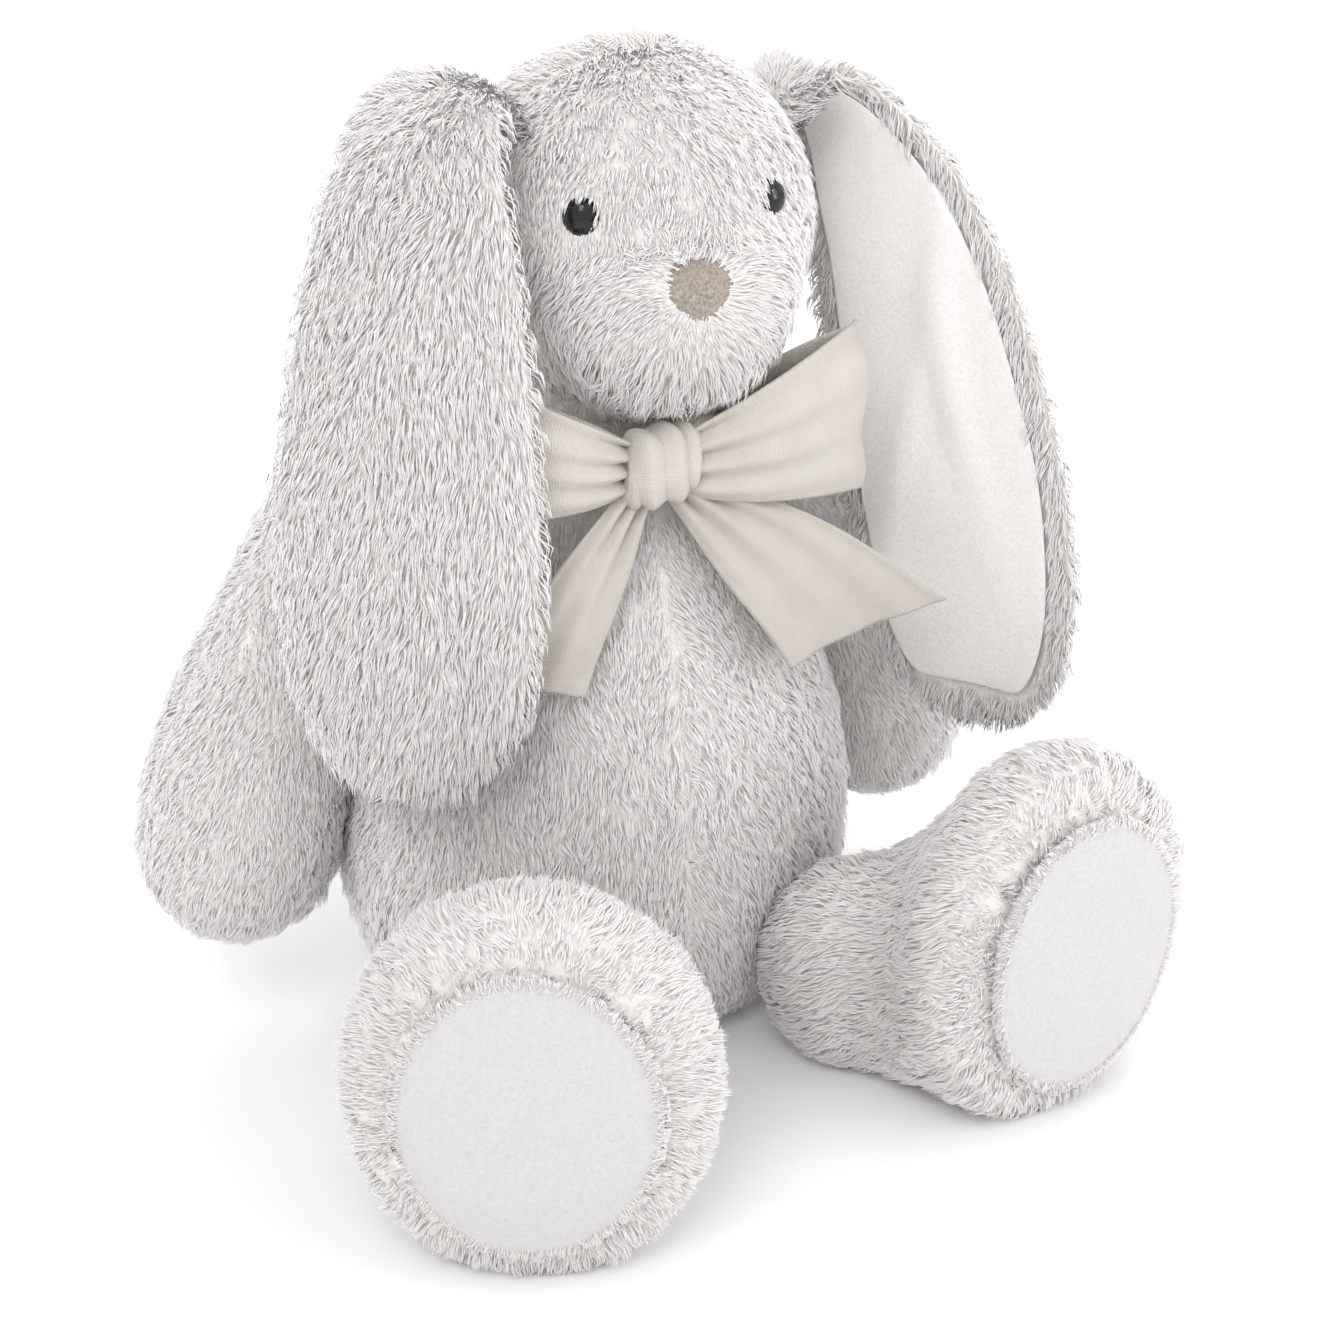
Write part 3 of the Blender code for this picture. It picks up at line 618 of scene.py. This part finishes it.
def head_short(p, n):
    share = np.ones(len(p))
    for side in SIDES:
        offset = p - np.array(eyes[side])
        distance = np.linalg.norm(offset, axis=1)
        close = np.exp(-(distance / (9 * MM)) ** 2)
        share *= 1 - np.where(offset[:, 2] > 1.0 * MM, 0.2, 0.6) * close
    distance = np.linalg.norm(p - np.array(nose_at), axis=1)
    share *= 1 - 0.2 * np.exp(-(distance / (12 * MM)) ** 2)
    across = (p - np.array(nose_at)) @ np.array(rightward)
    below = nose_at.z - p[:, 2]
    line = np.minimum(np.abs(across), np.abs(np.abs(across) - below * 1.2))
    seam = np.exp(-(line / (1.6 * MM)) ** 2) * (below > 6 * MM) * (distance < 30 * MM)
    chin = band(below, 15 * MM, 26 * MM) * (distance < 48 * MM)
    return share * (1 - 0.5 * seam) * (1 + 0.75 * chin)


grow("head_fur", "body", head, 1.25, head_flow, 21, keep=head_keep, shorten=head_short, length=5.8, width=0.5)

for side in SIDES:
    finish_node("eye_" + side, EYE)
    finish_node("eye_washer_" + side, WASHER)


def looped_nose():
    """The nose patch, with the small loops of its fabric."""
    made = copy_of("nose", "nose_patch", NOSE, levels=2)
    for v in made.data.vertices:
        loops = noise.noise(v.co * 1300.0) * 0.35 + noise.noise(v.co * 650.0) * 0.5
        offset = v.co - nose_at
        flare = 1 + 0.1 * offset.z / (9 * MM)
        v.co = nose_at + Vector((offset.x * flare, offset.y, offset.z))
        v.co += v.normal * (loops + 0.4) * MM
    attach(made, "body")
    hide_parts("nose")


looped_nose()

# ---------------------------------------------------------------- ears


def ear(side):
    """An ear's outer skin with its pile, and its lining with two soft folds down its length."""
    body = "ear_" + side
    pivot = joints[body + "_lift"]
    outer_node = body + "_outer"
    lining_node = body + "_lining"
    outer = copy_of(outer_node, body + "_skin", SKIN, levels=1)
    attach(outer, body)
    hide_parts(outer_node)
    lining = copy_of(lining_node, body + "_inner", EAR_PILE, levels=2)
    low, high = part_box(lining_node)
    lower_part = [v.co.xy for v in lining.data.vertices if v.co.z < low.z + 0.45 * (high.z - low.z)]
    front = min(lower_part, key=lambda c: c.y)
    back = max(lower_part, key=lambda c: c.y)
    across = (back - front).normalized()
    width = (back - front).length
    for v in lining.data.vertices:
        down = (high.z - v.co.z) / (high.z - low.z)
        place = (v.co.xy - front).dot(across) / width
        crease = place - 0.38 - 0.18 * math.sin(down * 5.0)
        fold = 2.6 * math.exp(-(crease / 0.09) ** 2) * math.exp(-((down - 0.38) / 0.26) ** 2)
        second = 1.5 * math.exp(-((place - 0.72 + 0.1 * math.sin(down * 6)) / 0.07) ** 2)
        second *= math.exp(-((down - 0.6) / 0.25) ** 2)
        soft = noise.noise(v.co * 45.0) * 0.6 + noise.noise(v.co * 14.0) * 1.0
        v.co += v.normal * (fold + second + 0.5 * soft) * MM
    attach(lining, body)
    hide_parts(lining_node)
    near_lining = node_tree(lining_node)

    def flow(p, n):
        away = unit(p - np.array(pivot)) * np.array((1, 1, 0.2))
        fall = band(np.linalg.norm(p - np.array(pivot), axis=1, keepdims=True), 14 * MM, 40 * MM)
        return away * (1 - fall) + np.array((0, 0, -1.2)) * fall + away * 0.15 * fall

    def keep(p, n):
        gap = np.array([near_lining.find_nearest(Vector(q))[3] for q in p])
        return gap > 2.2 * MM

    grow(body + "_fur", body, outer, 1.35, flow, 31 + SIDES[side], keep=keep, length=7.2, lean=(44, 74))


for side in SIDES:
    ear(side)

# ---------------------------------------------------------------- arms and legs


def arm(side):
    """An arm's skin and pile; the pile parts along the seam on its outer side."""
    body = "arm_" + side
    node = body + "_cover"
    shoulder = joints[body + "_raise"]
    low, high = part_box(node)
    paw = Vector(((high.x if side == "left" else low.x) - SIDES[side] * 26 * MM, (low.y + high.y) / 2,
                  low.z + 27 * MM))
    verts, faces = wrap(node, shoulder, paw, 26, 44, 12)
    skin = skin_piece(body + "_skin", body, node, verts, faces)
    way = np.array((paw - shoulder).normalized())
    cross = np.array((0, 1.0, 0))

    def flow(p, n):
        around = (p - np.array(shoulder)) @ cross
        split = np.exp(-(around / (7 * MM)) ** 2) * np.sign(around)
        return way + np.outer(split * 0.3, cross)

    def short(p, n):
        around = (p - np.array(shoulder)) @ cross
        outward = n[:, 0] * SIDES[side] > 0
        return 1 - 0.25 * np.exp(-(around / (1.8 * MM)) ** 2) * outward

    grow(body + "_fur", body, skin, 0.95, flow, 51 + SIDES[side], shorten=short)


def puffed_sole(node, name, body, facing):
    """A round pad, gathered at its top edge, that bulges a little."""
    low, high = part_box(node)
    middle = (low + high) / 2
    up = Vector((0, 0, 1))
    across = up.cross(facing).normalized()
    half_w = (high - low).xy.length / 2
    half_h = (high.z - low.z) / 2
    rings, sides = 26, 120
    verts = []
    faces = []
    for layer, lift in ((0, 1.9), (1, -0.7)):
        for i in range(1, rings + 1):
            r = i / rings
            for k in range(sides):
                turn = 2 * math.pi * k / sides
                top = max(0.0, math.sin(turn)) ** 3
                gather = math.cos(turn * 30) * 0.7 * top * r ** 5
                puff = 3.2 * (1 - r ** 3.2) + gather if layer == 0 else 0
                wobble = 1 + 0.012 * math.sin(3 * turn + 1) + 0.01 * math.sin(5 * turn)
                place = middle + across * (half_w * r * wobble * math.cos(turn))
                place = place + up * (half_h * r * math.sin(turn))
                verts.append(place + facing * ((lift + puff) * MM))
    for layer in (0, 1):
        base = layer * rings * sides
        for i in range(rings - 1):
            for k in range(sides):
                n = (k + 1) % sides
                faces.append((base + i * sides + k, base + i * sides + n, base + (i + 1) * sides + n,
                              base + (i + 1) * sides + k))
        centre = len(verts)
        verts.append(middle + facing * ((5.1 if layer == 0 else -0.7) * MM))
        for k in range(sides):
            faces.append((centre, base + k, base + (k + 1) % sides))
    edge = (rings - 1) * sides
    for k in range(sides):
        n = (k + 1) % sides
        faces.append((edge + k, edge + n, rings * sides + edge + n, rings * sides + edge + k))
    made = mesh_object(name, verts, faces, SOLE_PILE)
    for v in made.data.vertices:
        v.co += v.normal * noise.noise(v.co * 60.0) * 0.5 * MM
        v.co.z = max(v.co.z, FLOOR_CLEAR)
    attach(made, body)
    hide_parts(node)
    return made


def leg(side):
    """A leg's skin, its pile and its sole pad; the pile turns round the foot's edge towards the pad."""
    body = "leg_" + side
    node = body + "_cover"
    sole_node = "sole_" + side
    hip = joints[body + "_splay"]
    sole_mesh = frame["nodes"][sole_node].data
    points = np.array([tuple(v.co) for v in sole_mesh.vertices])
    _, _, axes = np.linalg.svd(points - points.mean(0))
    facing = Vector(axes[2])
    facing.z = 0
    facing.normalize()
    if facing.y > 0:
        facing.negate()
    sole_mid = centre_of(sole_node)
    heel = sole_mid - facing * 24 * MM
    verts, faces = wrap(node, hip, heel, 30, 72, 26)
    skin = skin_piece(body + "_skin", body, node, verts, faces)
    pad = puffed_sole(sole_node, "sole_pad_" + side, body, facing)
    along = np.array((heel - hip).normalized())
    face = np.array(facing)
    mid = np.array(sole_mid)
    low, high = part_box(sole_node)
    half_w = (high - low).xy.length / 2
    half_h = (high.z - low.z) / 2
    across = np.array(Vector((0, 0, 1)).cross(facing).normalized())

    def reach_of(p):
        offset = p - mid
        return np.sqrt(((offset @ across) / half_w) ** 2 + (offset[:, 2] / half_h) ** 2)

    def front(p, n):
        return band((n @ face)[:, None], 0.35, 0.8) * ((p - mid) @ face > -8 * MM)[:, None]

    def outward(p):
        radial = p - mid
        return unit(radial - np.outer(radial @ face, face))

    def flow(p, n):
        share = front(p, n)
        inward = np.sin(p[:, :1] * 900 + p[:, 2:3] * 700) > 0.2
        tuck = np.exp(-((reach_of(p) - 0.97) / 0.08) ** 2)[:, None] * inward
        return -along * (1 - share) + (outward(p) * (1.0 - 1.9 * tuck) + face * 0.1) * share

    def keep(p, n):
        return ~((n @ face > 0.5) & (reach_of(p) < 0.91)) & (p[:, 2] > 1.0 * MM)

    grow(body + "_fur", body, skin, 0.95, flow, 61 + SIDES[side], keep=keep)

    def rim_keep(p, n):
        return (n @ face > -0.3) & (reach_of(p) > 0.93) & (p[:, 2] > 1.5 * MM)

    grow(f"sole_rim_{side}", body, pad, 1.8, lambda p, n: outward(p), 71 + SIDES[side], keep=rim_keep,
         length=2.6, width=0.42, lean=(40, 72))



for side in SIDES:
    arm(side)
    leg(side)

# ---------------------------------------------------------------- tail

tail_at = centre_of("tail_cover")
tail_half = Vector((0, 1 * MM, 0))
verts, faces = wrap("tail_cover", tail_at - tail_half, tail_at + tail_half, 6, 32, 10)
tail = skin_piece("tail_skin", "body", "tail_cover", verts, faces)
grow("tail_fur", "body", tail, 1.0, lambda p, n: unit(p - np.array(tail_at)) + np.array((0, 0.8, -0.4)), 81,
     length=9.0, lean=(15, 45))

# ---------------------------------------------------------------- bow

knot_low, knot_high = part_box("bow_knot")
knot = (knot_low + knot_high) / 2
RIBBON_THICK = 1.0 * MM


def strip(name, path, body, node, uv_size, closed=False):
    """A ribbon from rows of points, thickened to a closed sheet with a fine surface."""
    rows = len(path)
    columns = len(path[0])
    verts = [p for row in path for p in row]
    faces = []
    last = rows if closed else rows - 1
    for i in range(last):
        j = (i + 1) % rows
        for k in range(columns - 1):
            faces.append((i * columns + k, i * columns + k + 1, j * columns + k + 1, j * columns + k))
    mesh = bpy.data.meshes.new(name)
    mesh.from_pydata([tuple(v) for v in verts], [], faces)
    layer = mesh.uv_layers.new(name="OFBake")
    for polygon in mesh.polygons:
        i, k = divmod(polygon.index, columns - 1)
        for corner, (di, dk) in zip(polygon.loop_indices, ((0, 0), (0, 1), (1, 1), (1, 0))):
            layer.data[corner].uv = ((i + di) / last * uv_size[0], (k + dk) / (columns - 1) * uv_size[1])
    mesh.shade_smooth()
    mesh.materials.append(RIBBON)
    made = bpy.data.objects.new(name, mesh)
    bpy.context.scene.collection.objects.link(made)
    thicken(made, RIBBON_THICK)
    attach(made, body)
    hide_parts(node)


def bow_loop(side):
    """A loop: the ribbon runs out along the front and back along the rear, pleated next to the knot."""
    node = "bow_loop_" + side
    low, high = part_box(node)
    sign = SIDES[side]
    outer = high.x if side == "left" else low.x
    mid_y = (low.y + high.y) / 2
    mid_z = (low.z + high.z) / 2
    half_h = (high.z - low.z) / 2
    depth = (high.y - low.y) / 2 * 0.85
    start = knot.x + sign * 7 * MM
    reach = abs(outer - start)
    path = []
    rows, columns = 90, 46
    for i in range(rows):
        turn = 2 * math.pi * (i + 0.5) / rows
        out = 0.5 - 0.5 * math.cos(turn)
        front = math.sin(turn)
        face = 1 if front > 0 else -1
        row = []
        for k in range(columns):
            t = 2 * k / (columns - 1) - 1
            spread = (0.36 + 0.64 * out ** 0.75) * half_h
            gather = math.exp(-out * 2.3)
            pleat = math.cos(t * 11 + 0.6 * math.sin(out * 3) + (1.1 if front > 0 else 0))
            pleat *= (1.7 * gather + 0.25) * face * min(1, abs(front) * 2.2)
            wave = math.sin(t * 3.1 + out * 3.5) * 1.3 * out
            bulge = depth / MM * (0.35 + 0.65 * math.sin(math.pi * min(1, out * 0.93)) ** 0.7)
            bulge *= 1 - 0.25 * t * t
            x = start + sign * reach * out * (1 - 0.05 * t * t + 0.03 * math.sin(t * 5))
            y = mid_y - (front * bulge + pleat + wave) * MM
            z = knot.z + (mid_z - knot.z) * out + t * spread * (1 if front > 0 else 0.93)
            z -= (1 - out) * 0.3 * MM
            row.append(Vector((x, y, z)))
        path.append(row)
    strip("ribbon_loop_" + side, path, "body", node, (reach * 2 * 100, half_h * 200))


# The tails' corners from the middle of the knot, in mm: the upper and the lower corner of the slanted end.
TAIL_ENDS = {"right": ((-50, 2, -55), (-24, -1, -63)), "left": ((86, -8, -52), (36, -8, -64))}


def bow_tail(side):
    """A slanted ribbon end that falls from under the knot."""
    sign = SIDES[side]
    far, low = (np.array(corner) for corner in TAIL_ENDS[side])
    outer_start = np.array((sign * 6.0, 1.5, -1.5))
    inner_start = np.array((sign * 0.5, 1.5, -8.5))
    path = []
    rows, columns = 64, 36
    for i in range(rows):
        s = i / (rows - 1)
        open_up = 1 - (1 - s) ** 1.35
        outer = outer_start * (1 - s) + far * s + np.array((sign * 1.0, 0, 2.5)) * math.sin(math.pi * s)
        inner = inner_start * (1 - s) + low * s + np.array((sign * 1.0, 0, 1.0)) * math.sin(math.pi * s)
        middle = (outer + inner) / 2
        half = (outer - inner) / 2 * (0.75 + 0.25 * open_up + 0.45 * math.sin(math.pi * s) * (1 - s))
        row = []
        for k in range(columns):
            t = 2 * k / (columns - 1) - 1
            crease = math.cos(t * 9 + s * 1.5) * (1.9 * math.exp(-s * 3.0) + 0.3)
            drape = math.sin(t * 2.4 + s * 4.0 + sign) * 2.2 * s + 3.0 * math.sin(math.pi * s)
            hem = 0.35 if abs(t) > 0.9 else 0.0
            place = middle + half * t - np.array((0, crease + drape + hem, 0))
            row.append(Vector(np.array(knot) + place * MM))
        path.append(row)
    length = float(np.linalg.norm(far + low)) / 2 * MM
    width = float(np.linalg.norm(far - low)) * MM
    strip("ribbon_tail_" + side, path, "body", "bow_tail_" + side,
          (length * 100, width * 100))


def neck_ring():
    """The ribbon's band round the neck, a little creased."""
    node = "bow_neck_band"
    low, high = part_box(node)
    middle = (low + high) / 2
    half = (high - low) / 2
    path = []
    rows, columns = 120, 18
    for i in range(rows):
        turn = 2 * math.pi * i / rows
        row = []
        for k in range(columns):
            t = 2 * k / (columns - 1) - 1
            crease = 0.5 * math.cos(t * 7 + 1.5 * math.sin(turn * 3)) + 0.5 * math.sin(turn * 9 + t * 2)
            out = (crease - 0.9) * MM
            wander_z = math.sin(turn * 2) * 0.8 * MM
            out -= (1.3 + 1.5 * t) * MM
            row.append(middle + Vector(((half.x + out) * math.cos(turn), (half.y + out) * math.sin(turn),
                                        half.z * 0.93 * t + wander_z)))
        path.append(row)
    girth = math.pi * (half.x + half.y)
    strip("ribbon_neck_band", path, "body", node, (girth * 100, half.z * 200),
          closed=True)


def wrapped_knot():
    """A ribbon turn drawn tight round the crossing, with folds that run the way it wraps."""
    half = (knot_high - knot_low) / 2
    path = []
    rows, columns = 72, 48
    for i in range(rows):
        turn = 2 * math.pi * i / rows
        row = []
        for k in range(columns):
            t = 2 * k / (columns - 1) - 1
            shoulder = max(0.0, 1 - abs(t) ** 5.0) ** 0.5 * 0.75 + 0.25
            skew = t + 0.2 * math.sin(turn) + 0.08 * math.sin(2 * turn + 1)
            fold = 0.09 * (1 - 2 * abs(math.sin(skew * 4.6 + 0.5))) + 0.02 * math.sin(skew * 15)
            size = shoulder * (0.95 - fold)
            swell = abs(math.cos(turn)) ** 0.75 * math.copysign(1, math.cos(turn))
            rise = abs(math.sin(turn)) ** 0.75 * math.copysign(1, math.sin(turn))
            tilt = 0.1 * half.z * t
            row.append(knot + Vector((half.x * (t + 0.05 * math.sin(turn)), half.y * 1.05 * size * swell,
                                      half.z * size * rise + tilt)))
        path.append(row)
    girth = math.pi * (half.y + half.z)
    strip("ribbon_knot", path, "body", "bow_knot",
          (girth * 100, half.x * 200), closed=True)


for side in SIDES:
    bow_loop(side)
    bow_tail(side)
neck_ring()
wrapped_knot()

# ---------------------------------------------------------------- care label


def label():
    """The blank label, a little curled."""
    low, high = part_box("care_label")
    points = np.array([tuple(v.co) for v in frame["nodes"]["care_label"].data.vertices])
    middle = points.mean(0)
    _, _, axes = np.linalg.svd(points - middle)
    out = axes[1].copy()
    out[2] = 0
    out = out / np.linalg.norm(out)
    if out @ np.array((1, 1, 0)) < 0:
        out = -out
    flat = np.cross(out, (0, 0, 1))
    rows, columns = 24, 18
    verts = []
    reach = 12 * MM
    height = high.z - low.z
    for i in range(rows):
        s = i / (rows - 1)
        for k in range(columns):
            t = k / (columns - 1) - 0.5
            place = middle + out * reach * (s - 0.5) + np.array((0, 0, 1)) * height * t * 0.96
            place = place + flat * (0.8 * math.sin(s * 4) * s + 0.25 * math.sin(t * 5 + s * 2)) * MM
            verts.append(Vector(place))
    faces = [(i * columns + k, i * columns + k + 1, (i + 1) * columns + k + 1, (i + 1) * columns + k)
             for i in range(rows - 1) for k in range(columns - 1)]
    made = mesh_object("blank_label", verts, faces, SATIN)
    thicken(made, 0.4 * MM)
    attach(made, "body")
    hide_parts("care_label")


label()

# ---------------------------------------------------------------- inner nodes

for node in frame["nodes"]:
    if node.endswith("_stuffing"):
        finish_node(node, FIBRE)
finish_node("pellet_bag", BAG_CLOTH)

# ---------------------------------------------------------------- studio

FLOOR_HALF = 6              # m
# Each lamp's name, place and disc width in m, and power in W.
LAMPS = (("key", (-0.9, -1.1, 1.5), 0.9, 10.0), ("fill", (1.3, -1.1, 0.8), 1.2, 7.5),
         ("back", (0.5, 1.3, 1.4), 1.0, 6.5))
CAMERA_AZIMUTH = -26        # degrees from the way the rabbit faces
CAMERA_ELEVATION = 25
CAMERA_DISTANCE = 0.83      # m
CAMERA_ANGLE = 25.2         # degrees of view


def studio():
    """A white floor and sky with three soft lamps."""
    white, tree, shader = material("studio_white", (0.96, 0.96, 0.96), 0.95)
    grain = noise_of(tree, 3.0)
    tree.links.new(ramp(tree, grain, ((0.0, (0.955, 0.955, 0.955)), (1.0, (0.965, 0.965, 0.965)))),
                   shader.inputs["Base Color"])
    corners = [(x * FLOOR_HALF, y * FLOOR_HALF, 0) for x, y in ((-1, -1), (1, -1), (1, 1), (-1, 1))]
    floor = mesh_object("studio_floor", corners, [(0, 1, 2, 3)], white)
    world = bpy.data.worlds.new("studio")
    world.use_nodes = True
    world.node_tree.nodes["Background"].inputs["Color"].default_value = (1, 1, 1, 1)
    world.node_tree.nodes["Background"].inputs["Strength"].default_value = 1.05
    bpy.context.scene.world = world
    middle = Vector((0, -0.03, 0.13))
    for name, place, size, power in LAMPS:
        lamp = bpy.data.lights.new(name, "AREA")
        lamp.shape = "DISK"
        lamp.size = size
        lamp.energy = power
        made = bpy.data.objects.new(name, lamp)
        made.location = place
        made.rotation_euler = (middle - Vector(place)).to_track_quat("-Z", "Y").to_euler()
        bpy.context.scene.collection.objects.link(made)


def camera():
    """A view from the front right and above."""
    azimuth, elevation = math.radians(CAMERA_AZIMUTH), math.radians(CAMERA_ELEVATION)
    centre = (Vector(cad_low) + Vector(cad_high)) / 2
    target = Vector((centre.x + 1 * MM, centre.y - 10 * MM, 120 * MM))
    back = Vector((math.sin(azimuth) * math.cos(elevation), -math.cos(azimuth) * math.cos(elevation),
                   math.sin(elevation)))
    data = bpy.data.cameras.new("camera")
    data.angle = math.radians(CAMERA_ANGLE)
    data.clip_start = 0.05
    made = bpy.data.objects.new("camera", data)
    made.location = target + back * CAMERA_DISTANCE
    made.rotation_euler = (-back).to_track_quat("-Z", "Y").to_euler()
    bpy.context.scene.collection.objects.link(made)
    bpy.context.scene.camera = made


studio()
camera()
bpy.context.scene.view_settings.view_transform = "Standard"
bpy.context.scene.cycles.diffuse_bounces = 6
